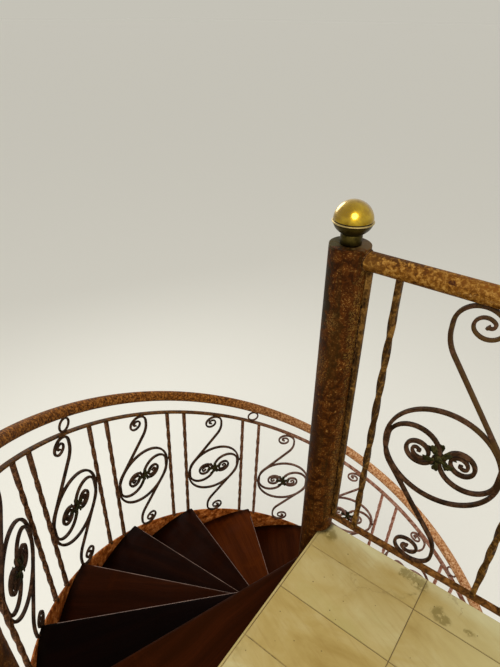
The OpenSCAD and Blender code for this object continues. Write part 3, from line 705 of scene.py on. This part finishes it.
def lines(*drawn, closed=0):
    """Drawn lines, each a list of places or of (place, thickness) pairs; so many of the first ones are closed."""
    curve = bpy.data.curves.new("lines", "CURVE")
    curve.dimensions = "3D"
    for k, path in enumerate(drawn):
        path = [p if isinstance(p, tuple) else (p, 1.0) for p in path]
        spline = curve.splines.new("POLY")
        spline.points.add(len(path) - 1)
        spline.points.foreach_set("co", [c for p, _ in path for c in (*p, 1.0)])
        spline.points.foreach_set("radius", [w for _, w in path])
        spline.use_cyclic_u = k < closed
    return curve


def circle(r, count, centre=spot()):
    return [centre + polar(r, 2 * pi * k / count) for k in range(count)]


def outline_curve(width, height, rounding, corner=4):
    """A rounded rectangle, or a round when the rounding is half its width."""
    path = []
    for k, (sx, sy) in enumerate(((1, 1), (-1, 1), (-1, -1), (1, -1))):
        middle = spot(sx * (width / 2 - rounding), sy * (height / 2 - rounding))
        path += [middle + polar(rounding, radians(90 * k + 90 * i / corner)) for i in range(corner + 1)]
    return lines(path, closed=1)


def skin(shape, rings):
    """Faces between rings of corners, one over the other; a ring of one corner is a tip."""
    count, faces = max(len(ring) for ring in rings), []
    for low, high in zip(rings, rings[1:]):
        for k in range(count):
            j = (k + 1) % count
            corners = [low[k % len(low)], low[j % len(low)], high[j % len(high)], high[k % len(high)]]
            faces.append(shape.faces.new(list(dict.fromkeys(corners))))
    return faces


def turned(name, profile, height, material, slot, *replaces, segments=96):
    """A turned piece on the column's axis, from (radius, height) pairs that start and end on the axis."""
    shape = bmesh.new()
    rings = [circle(r, segments if r else 1, spot(z=height + z)) for r, z in profile]
    skin(shape, [[shape.verts.new(p) for p in ring] for ring in rings])
    keep(name, tidy(settle(shape), 35), slot, material, *replaces)


# Stage, light and camera
def stage_and_light():
    reach = 300
    floor = holder("floor", bpy.data.meshes.new("floor"))
    corners = [(x * reach, y * reach, 0) for x, y in ((-1, -1), (1, -1), (1, 1), (-1, 1))]
    floor.data.from_pydata(corners, [], [(0, 1, 2, 3)])
    dress(floor, new_material("pale_floor", Roughness=0.9, Specular_IOR_Level=0.1, Base_Color=(242, 239, 227))[0])
    world = bpy.data.worlds.new("studio")
    studio.world = world
    world.use_nodes = True
    b = Board(world.node_tree)
    rays = b("LightPath")
    mirrored = b.sum("MAXIMUM", rays.Is_Glossy_Ray, rays.Is_Transmission_Ray)
    ambient, reflected, backdrop = (0.62, 0.614, 0.601, 1), (0.78, 0.772, 0.757, 1), (197, 194, 183)
    light = b.coats(ambient, (mirrored, reflected), (rays.Is_Camera_Ray, backdrop))
    b.join(light, world.node_tree.nodes["Background"].inputs[0])
    aim = spot(z=1.9)
    for name, place, size, power, tint in (
            ("key_light", (2.2, -3.6, 7.2), 3.2, 260, (1, 0.985, 0.96)),
            ("side_light", (-4.2, 2.4, 5), 2.6, 90, (0.97, 0.985, 1))):
        lamp = bpy.data.lights.new(name, "AREA")
        lamp.shape, lamp.size, lamp.energy, lamp.color = "DISK", size, power, tint
        turned_to = (aim - Vector(place)).to_track_quat("-Z", "Y").to_matrix().to_4x4()
        holder(name, lamp).matrix_world = Matrix.Translation(place) @ turned_to
    studio.view_settings.view_transform = "Standard"


def camera():
    """The photograph's camera, as fitted: its place, its angles and its focal length in pixels of the picture."""
    place, yaw, pitch, roll, focal, picture_h = (0.4759, -1.0295, 4.4367), 2.2131, 0.5714, 0.0072, 500.7, 667
    lens = bpy.data.cameras.new("camera")
    lens.sensor_width, lens.lens = 36, 36 * focal / picture_h
    lens.clip_start, lens.clip_end = 0.05, 1000
    body = holder("camera", lens)
    body.matrix_world = Matrix.Translation(place) @ spun(yaw - pi / 2) @ spun(pi / 2 - pitch, "X") @ spun(roll)
    studio.camera = body


# Column and finial
def column_pieces():
    rim = POST - SEAT
    disc = [(0, -0.008), (rim, -0.008), (rim, -0.0066), (rim - 0.0011, -0.006), (rim, -0.0054),
            (rim + 0.0001, -0.001), (rim - 0.0007, -0.0002), (rim - 0.0017, 0), (0, 0)]
    turned("column_top_disc", disc, DISC_TOP, POST_IRON, "column", "column_cap")
    neck_low, bowl_low = DISC_TOP - BALL_Z, -acos(NECK / BALL)
    bowl = [(0, neck_low), (NECK - 0.0006, neck_low), (NECK, neck_low + 0.0012), (NECK, -BOWL_H - 0.004)]
    bowl.append((NECK - 0.0012, -BOWL_H - 0.002))
    for k in range(14):
        a = bowl_low * (1 - k / 14)
        bowl.append((BALL * cos(a), -BOWL_H * sin(a) / sin(bowl_low)))
    turned("finial_bowl", bowl + [(0, 0)], BALL_Z, SHADED_BOWL_BRASS, "ball", "finial_base")
    dome = [(0, 0.0002), (BALL - 0.0016, 0.0002), (BALL - 0.0016, 0.0012), (BALL - 0.0002, 0.0024)]
    dome += [(BALL * cos(radians(a)), BALL * sin(radians(a))) for a in range(6, 90, 4)] + [(0, BALL)]
    turned("finial_dome", dome, BALL_Z, BALL_BRASS, "ball", "finial_ball")
    bead = ((-0.0008, -0.005), (0.0012, -0.0044), (0.0022, -0.0032),
            (0.0022, -0.002), (0.0012, -0.0008), (-0.0008, -0.0002))
    seam = [(0, -0.005), *((BALL + out, z) for out, z in bead), (0, -0.0002)]
    turned("finial_seam", seam, BALL_Z, SEAM_BRASS, "ball")


# Treads
def tread_outline(z, arcs=28):
    """The board's outline seen from above, at a height below its top: the nosing is a full round."""
    hole, nose, ease = POST + SEAT, TREAD_T / 2, 0.0025
    front = nose - LEAD - sqrt(max(0, nose ** 2 - (z + nose) ** 2))
    near = min(-z, z + TREAD_T, ease)
    rim = TREAD_R - ease + sqrt(ease ** 2 - (ease - near) ** 2)

    def sweep(r, first, last, count):
        return [polar(r, first + (last - first) * k / count, z) for k in range(count + 1)]

    outer = sweep(rim, asin(front / rim), TURN + asin(LAP / rim), arcs)
    return outer + sweep(hole, TURN + asin(LAP / hole), asin(front / hole), 10)


# How light each board is, from the landing down: partly each board's own tone, partly painted shade, the darkest boards
# standing in for shade that falls on them
BOARD_TONE_AND_SHADE = (2, 0.22, 1.6, 0.62, 0.8, 4.1, 2.4, 1.4, 0.9, 1.8, 1.2, 0.8, 1.5, 1.1)


def tread(n):
    t = TREADS + 1 - n
    move = Matrix.Translation((0, 0, n * RISE)) @ spun(turn(t))
    shape = bmesh.new()
    steps = 12
    levels = [TREAD_T / 2 * (cos(pi * k / steps) - 1) for k in range(steps + 1)]
    layers = [[shape.verts.new(move @ p) for p in tread_outline(z)] for z in levels]
    skin(shape, layers)
    shape.faces.new(layers[0])
    shape.faces.new(layers[-1][::-1])
    # Painted shade: the board's wood tones are scaled by its share of light and shade.
    tone_and_shade = BOARD_TONE_AND_SHADE[TREADS - n]
    tones = [tuple(tone_and_shade * c for c in tone(t)[:3]) + (1,) for t in ((24, 6, 0), (34, 10, 1), (44, 16, 2))]
    wood = mahogany(f"mahogany_{n:02d}", turn(t) + TURN / 2, n * 1.37, *tones)
    keep(f"tread_board_{n:02d}", tidy(settle(shape), 50), "treads", wood, f"tread_{n:02d}")


def nosing_strips():
    """A thin pale strip let into the round of the nosings, partly a metal strip and partly painted highlight of the
    rounded edge; the top tread has lost its own.
    """
    nose, slant = TREAD_T / 2, radians(48)
    bed = nose - 0.0007
    out, drop = LEAD - nose + bed * cos(slant), nose - bed * sin(slant)
    drawn = []
    for n in range(1, TREADS):
        a = turn(TREADS + 1 - n)
        drawn.append([polar(x, a, n * RISE - drop) + polar(1, a - pi / 2) * out for x in (0.082, TREAD_R - 0.055)])
    strips = run(inlaid_strip, lines(*drawn), Width=0.004, Depth=0.0026, Rounding=0.0008, Slant=pi / 2 - slant)
    keep("nosing_strips", strips, "treads", STRIP_METAL_AND_HIGHLIGHT)


def tread_screws():
    plate, sink, places = 0.008, 0.0006, []
    for n in range(1, TREADS + 1):
        a = turn(TREADS + 1 - n) + TURN / 2
        for r in (0.16, 0.42, 0.68, 0.92):
            for side in (-0.019, 0.019):
                places.append(polar(r, a, n * RISE - TREAD_T - SEAT - plate - sink) + polar(side, a + pi / 2))
    keep("tread_screws", run(pan_screw, points(places), 60), "stringer", SCREW_STEEL)


# Stringer and rails
def wound_pieces():
    thirds = [RUN[0] + (RUN[1] - RUN[0]) * k / 3 for k in range(4)]
    stretch, round_w = 1 / cos(SLOPE_A), 2 * TUBE - SEAT
    middle = -STRINGER_DROP - STRINGER_H / 2
    for kind, outline, up, share, material, slot in (
            ("stringer", (STRINGER_T, STRINGER_H, 0.0016, 2), middle, 1.0, STRINGER_IRON, "stringer"),
            ("sub_rail", (FLAT_W, FLAT_T, 0.0018, 2), SUB_RAIL_UP, stretch, FLAT_IRON, "rails"),
            ("handrail", (round_w, round_w, round_w / 2, 9), HANDRAIL_UP, stretch, STAIR_RAIL_IRON, "rails")):
        for k in range(3):
            mesh = run(wound_bar, outline_curve(*outline), 30.0, From=thirds[k], To=thirds[k + 1],
                       Steps=54, Up=up, Stretch=share)
            keep(f"{kind}_length_{k + 1}", mesh, slot, material, f"{kind}_{k + 1}")


def twisted_bars():
    low, high = -STRINGER_DROP - 0.002, SUB_RAIL_UP
    guard_low, guard_high = LAND + BOTTOM_UP, LAND + GUARD_UP - TUBE + 0.004
    stair_spots, guard_spots = [on_flight(t, low) for t in BAR_PLACES], [(x, 0.0, guard_low) for x in GUARD_BARS]
    for name, spots, facings, length, material, node, values in (
            ("stair_twisted_bars", stair_spots, [turn(t) for t in BAR_PLACES], high - low, BAR_IRON,
             "stair_balusters", {"Steps": 64, "Lean": FOOT_LEAN, "Rise": FOOT_LEAN * SLOPE}),
            ("guard_twisted_bars", guard_spots, [0.0] * 4, guard_high - guard_low, GUARD_BAR_IRON,
             "landing_balusters", {"Steps": 84, "Rounding": 0.0009})):
        foot, head = ((PLAIN_END + drop) / length for drop in (-RING_DROP, RING_DROP))
        bars = run(twisted_bar, points(spots, facing=facings), 35.0, Length=length, Foot=foot, Head=head, **values)
        keep(name, bars, "balusters", material, node)


# Scroll work
def arc(centre, r, a0, a1):
    steps = max(3, ceil(abs(radians(a1 - a0)) * r / min(0.008, max(0.0022, r * 0.2))))
    return [centre + polar(r, radians(a0 + (a1 - a0) * k / steps)) for k in range(steps + 1)]


def volute(start, radii, first=1):
    """Half rounds, each smaller than the last, that roll in from the start to one side."""
    path = []
    for k, r in enumerate(radii):
        side = first if k % 2 == 0 else -first
        path += arc(start + spot(side * r), r, *((180, 0) if side > 0 else (0, -180)))
        start = start + spot(2 * side * r)
    return path


def long_scroll(ring, reach, turn_r):
    """From the middle round one side of the ring, up the diagonal and into the volute at the top."""
    side_x, bend, sweep, side_y, plumb = ring - SCROLL_T * 0.66, 0.29 * reach, 0.25 * reach, 0.036, 0.045 * reach
    inner, volute_x = side_x / 2, (VOLUTE_SHIFT - 1) * turn_r
    c1, c2 = spot(volute_x + bend, reach - plumb), spot(side_x - sweep, side_y)
    gap = c1 - c2
    a = degrees(asin((bend + sweep) / gap.length) - atan2(gap.x, gap.y))
    eye = spot(volute_x + turn_r, reach)
    path = arc(spot(side_x - inner), inner, 180, 360) + arc(c2, sweep, 0, a) + arc(c1, bend, 180 + a, 180)
    path += arc(eye, turn_r, 180, 45)
    inward = volute(spot(turn_r), [k * turn_r for k in (0.6, 0.42, 0.16)], -1)
    return path + [eye + spun(radians(45)) @ p for p in inward]


def small_scroll():
    return [spot()] + volute(spot(0.014, 0.006), (0.037, 0.03, 0.0216, 0.009))


def drawn_bar(path, thin_from=0.55, tip=0.72, knob=0.005, knob_w=1.06):
    """The bar keeps its thickness, then is drawn down towards its tip, which ends in a small knob."""
    clean, so_far = [path[0]], [0]
    for p in path[1:]:
        step = (p - clean[-1]).length
        if step > 1e-4:
            clean.append(p)
            so_far.append(so_far[-1] + step)
    total = so_far[-1]
    thick = [1 - (1 - tip) * max(0, (s / total - thin_from) / (1 - thin_from)) ** 1.5 for s in so_far]
    return [(p, w if s < total - knob else knob_w) for p, w, s in zip(clean, thick, so_far)]


def panel_lines(ring, reaches, turn_r, lean):
    """One panel: a ring and, turned to each other, two long and two small scrolls."""
    drawn = []
    for half, reach in zip((0, pi), reaches):
        for path in (long_scroll(ring, reach, turn_r), small_scroll()):
            drawn.append(drawn_bar([spun(half + lean) @ p for p in path]))
    return lines(circle(ring, 110), *drawn, closed=1)


def stair_panel_places():
    """Places and facings of the panels, then ring, reaches, volute radius and lean."""
    half = (BAY - PAIR) / 2 * TURN
    low, high = SEAT - STRINGER_DROP, SUB_RAIL_UP - PLUMB_FLAT - SEAT
    above = (high - low) / 2 + RING_DROP
    ts = [FIRST_PAIR + (k + 0.5) * BAY - FOOT_LEAD * above / (high - low) for k in range(PAIRS - 1)]
    spots = [on_flight(t, high - above, FLIGHT * (1 + cos(half)) / 2) for t in ts]
    lean = atan(FOOT_LEAN / (high - low))
    c, s = cos(lean), sin(lean)
    off = VOLUTE_SHIFT * STAIR_VOLUTE * (SLOPE * c - s)
    volute_h = (STAIR_VOLUTE + VOLUTE_T / 2) / cos(SLOPE_A)
    reaches = [(h - volute_h + off) / (c + SLOPE * s) for h in (above, high - low - above)]
    ring = FLIGHT * sin(half) * c - TWIST_W / 2 - SCROLL_T / 2 - 0.001
    return spots, [turn(t) + pi / 2 for t in ts], ring, reaches, STAIR_VOLUTE, lean


def guard_panel_places():
    low, high = BOTTOM_UP + FLAT_T / 2 + SEAT, GUARD_UP - TUBE - SEAT
    reach = (high - low) / 2 - VOLUTE - VOLUTE_T / 2
    middles = (GUARD_BAY / 2, GUARD_BAY * 1.5 + GUARD_PAIR)
    spots = [spot(GUARD_FIRST + x, 0, LAND + (high + low) / 2 - RING_DROP) for x in middles]
    return spots, [0, 0], RING, (reach + RING_DROP, reach - RING_DROP), VOLUTE, 0


def forged(name, drawn, spots, facings, slot, node, **sizes):
    places = holder("places", points(spots, facing=facings))
    keep(name, run(forged_work, drawn, 35, Places=places, **sizes), slot, SCROLL_IRON, node)
    bpy.data.objects.remove(places)


def scroll_work():
    spots, facings, *shape = stair_panel_places()
    for n in range(4):
        part = slice(3 * n, 3 * n + 3)
        forged(f"stair_scrolls_{n + 1}", panel_lines(*shape), spots[part], facings[part],
               "scrolls", f"stair_panels_{n + 1}")
    guard_spots, guard_facings, *shape = guard_panel_places()
    forged("guard_scrolls", panel_lines(*shape), guard_spots, guard_facings, "scrolls", "landing_panels")
    roses = points(spots + guard_spots, facing=facings + guard_facings)
    keep("rosettes", run(rosette, roses, 50), "scrolls", LEAF_IRON)
    mid = (HANDRAIL_UP - PLUMB_TUBE + SUB_RAIL_UP + PLUMB_FLAT) / 2
    gap = (HANDRAIL_UP - SUB_RAIL_UP) * cos(SLOPE_A) - TUBE - FLAT_T / 2
    bar = 0.009
    hoop = lines(circle(gap / 2 - SEAT - bar / 2, 40), closed=1)
    forged("rail_hoops", hoop, [on_flight(t, mid) for t in RINGS], [turn(t) + pi / 2 for t in RINGS],
           "rails", "rail_rings", Width=bar, Depth=bar, Rounding=0.0035)


# Welds
def weld_spots():
    """Where bars, panels, rails and rings meet, each with the size of its lump."""
    spots = []
    for top in BAR_PLACES:
        for t, up, size in ((top - FOOT_LEAD, -STRINGER_DROP, 0.0068), (top, SUB_RAIL_UP - PLUMB_FLAT, 0.006)):
            spots += [(on_flight(t, up, FLIGHT + inward), size) for inward in (-0.006, 0.006)]
    for places, facings, ring, reaches, turn_r, lean in (stair_panel_places(), guard_panel_places()):
        for p, facing in zip(places, facings):
            for side, reach in zip((1, -1), reaches):
                marks = [(ring - 0.007, 0.02, 0.0058), (VOLUTE_SHIFT * turn_r, reach + turn_r, 0.0058)]
                if lean:
                    marks.append((ring + SCROLL_T / 2, 0, 0.0072))
                for x, y, size in marks:
                    flat = spun(lean) @ spot(side * x, side * y)
                    spots.append((p + polar(flat.x, facing, flat.y), size))
    for x in GUARD_BARS:
        for z in (LAND + BOTTOM_UP + FLAT_T / 2, LAND + GUARD_UP - TUBE):
            spots += [(spot(x, side, z), 0.006) for side in (-0.005, 0.005)]
    for t in RINGS:
        spots += [(on_flight(t, up), 0.0062) for up in (SUB_RAIL_UP + PLUMB_FLAT, HANDRAIL_UP - PLUMB_TUBE)]
    places, sizes = zip(*spots)
    keep("weld_spots", run(weld_spot, points(places, size=sizes), 80), "scrolls", WELD_IRON)


def weld_seams():
    """Beads round the column's foot, down both sides of the stile, and in the saddle of the guard's handrail; the first
    two are near-black, partly painted shade of the creases they lie in.
    """
    proud = 0.001

    def on_post(y, z):
        return spot(sqrt(POST ** 2 - y ** 2) + proud, y, z)

    seams = [circle(POST + proud, 64, spot(z=0.015))]
    for side in (-1, 1):
        seams.append([on_post(side * (STILE / 2 - proud), LAND + z) for z in (0.07, 0.3, 0.6, 0.86)])
    keep("weld_seams", run(weld_seam, lines(*seams, closed=1), 80, Size=0.0032), "column", SEAM_IRON_AND_SHADE)
    saddle = [on_post(p.x, LAND + GUARD_UP + p.y) for p in circle(TUBE + 0.0008, 48)]
    keep("saddle_seam", run(weld_seam, lines(saddle, closed=1), 80, Size=0.0024), "rails", WELD_IRON)


# Landing
def landing_floor():
    """Cream tiles with thin joints on a screed that is notched round the two posts."""
    rng = random.Random(11)
    gap, edge, tile_t, lift_most = 0.0008, 0.0075, 0.011, 0.0006
    xs = [SLAB_X, SLAB_X + edge, 0.385, 0.739, 1.093, SLAB_X + SLAB_L]
    ys = [-SLAB_W, -0.985, -0.808, -0.631, -0.454, -0.277, -0.101, SLAB_LIP]
    shape = bmesh.new()
    value = shape.faces.layers.float.new("tone")
    for i in range(len(xs) - 1):
        for j in range(len(ys) - 1):
            strip = i == 0
            left, right = xs[i] + gap * (not strip), xs[i + 1] - gap * (i < len(xs) - 2)
            near, far = ys[j] + gap * (not strip and j > 0), ys[j + 1] - gap * (not strip and j < len(ys) - 2)
            lift = [0 if strip else -rng.uniform(0, lift_most) for _ in range(4)]
            corners = [(left, near), (right, near), (right, far), (left, far)]
            low = [shape.verts.new((x, y, LAND - tile_t)) for x, y in corners]
            high = [shape.verts.new((x, y, LAND + d)) for (x, y), d in zip(corners, lift)]
            tint = 0.9 if strip else rng.random()
            for face in (shape.faces.new(high), shape.faces.new(low[::-1]), *skin(shape, [low, high])):
                face[value] = tint
    edges = [e for e in shape.edges if all(v.co.z > LAND - 0.005 for v in e.verts)]
    bmesh.ops.bevel(shape, geom=edges, offset=0.0012, segments=2, affect="EDGES", clamp_overlap=True)
    inset = 0.0006
    bed = box_mesh((SLAB_X + inset, -SLAB_W + inset, LAND - SLAB_T),
                   (SLAB_X + SLAB_L - inset, SLAB_LIP - inset, LAND - 0.0022), 0.003)
    cutters = [tube_cutter(y, POST + SEAT + 0.0005) for y in (0, -FLIGHT)]
    keep("landing_tiles", notched(settle(shape), cutters), "tiles", TILE, "landing_slab")
    screed = keep("landing_screed", notched(bed, cutters), "tiles", JOINT)
    screed.data.materials.append(SCREED)
    for face in screed.data.polygons:
        face.material_index = 0 if face.center.z > LAND - tile_t - 0.001 else 1
    for cutter in cutters:
        bpy.data.objects.remove(cutter)


def box_mesh(lo, hi, rounding):
    shape = bmesh.new()
    bmesh.ops.create_cube(shape, size=1)
    for v in shape.verts:
        v.co = Vector(((lo[k] + hi[k]) / 2 + v.co[k] * (hi[k] - lo[k])) for k in range(3))
    bmesh.ops.bevel(shape, geom=list(shape.edges), offset=rounding, segments=2, affect="EDGES")
    return settle(shape)


def tube_cutter(y, r):
    shape = bmesh.new()
    place = Matrix.Translation((0, y, LAND))
    bmesh.ops.create_cone(shape, cap_ends=True, segments=96, radius1=r, radius2=r, depth=1, matrix=place)
    return holder("cutter", settle(shape))


def notched(mesh, cutters):
    carrier = holder("carrier", mesh)
    for cutter in cutters:
        cut = carrier.modifiers.new("notch", "BOOLEAN")
        cut.object, cut.operation, cut.solver = cutter, "DIFFERENCE", "EXACT"
    return smooth(made_of(carrier), 35)


def guard_flats():
    """The bottom rail and the square end bars, with their edges rubbed round."""
    z = LAND + BOTTOM_UP
    bar = box_mesh((POST - 0.006, -FLAT_W / 2, z - FLAT_T / 2),
                   (GUARD_END - STILE / 2 + 0.002, FLAT_W / 2, z + FLAT_T / 2), 0.0018)
    keep("guard_bottom_bar", tidy(bar), "rails", FLAT_IRON, "landing_bottom_rail")
    high = LAND + GUARD_UP - sqrt(TUBE ** 2 - (STILE / 2) ** 2)
    both = bmesh.new()
    for x, low in ((POST + SEAT, z + FLAT_T / 2), (GUARD_END - STILE / 2, LAND)):
        both.from_mesh(box_mesh((x, -STILE / 2, low), (x + STILE, STILE / 2, high), 0.0022))
    keep("guard_square_bars", tidy(settle(both)), "rails", GUARD_BAR_IRON, "guard_stiles")


camera()
stage_and_light()
column_pieces()
for n in range(1, TREADS + 1):
    tread(n)
nosing_strips()
tread_screws()
wound_pieces()
twisted_bars()
scroll_work()
weld_spots()
weld_seams()
landing_floor()
guard_flats()
for iron, nodes in ((POST_IRON, "column upper_newel upper_newel_cap base_flange"), (STRINGER_IRON, "tread_bearers"),
                    (FRAME_IRON, "landing_frame"), (GUARD_RAIL_IRON, "landing_handrail"),
                    (STAIR_RAIL_IRON, "lower_newel")):
    for node in nodes.split():
        dress(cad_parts[node], iron)
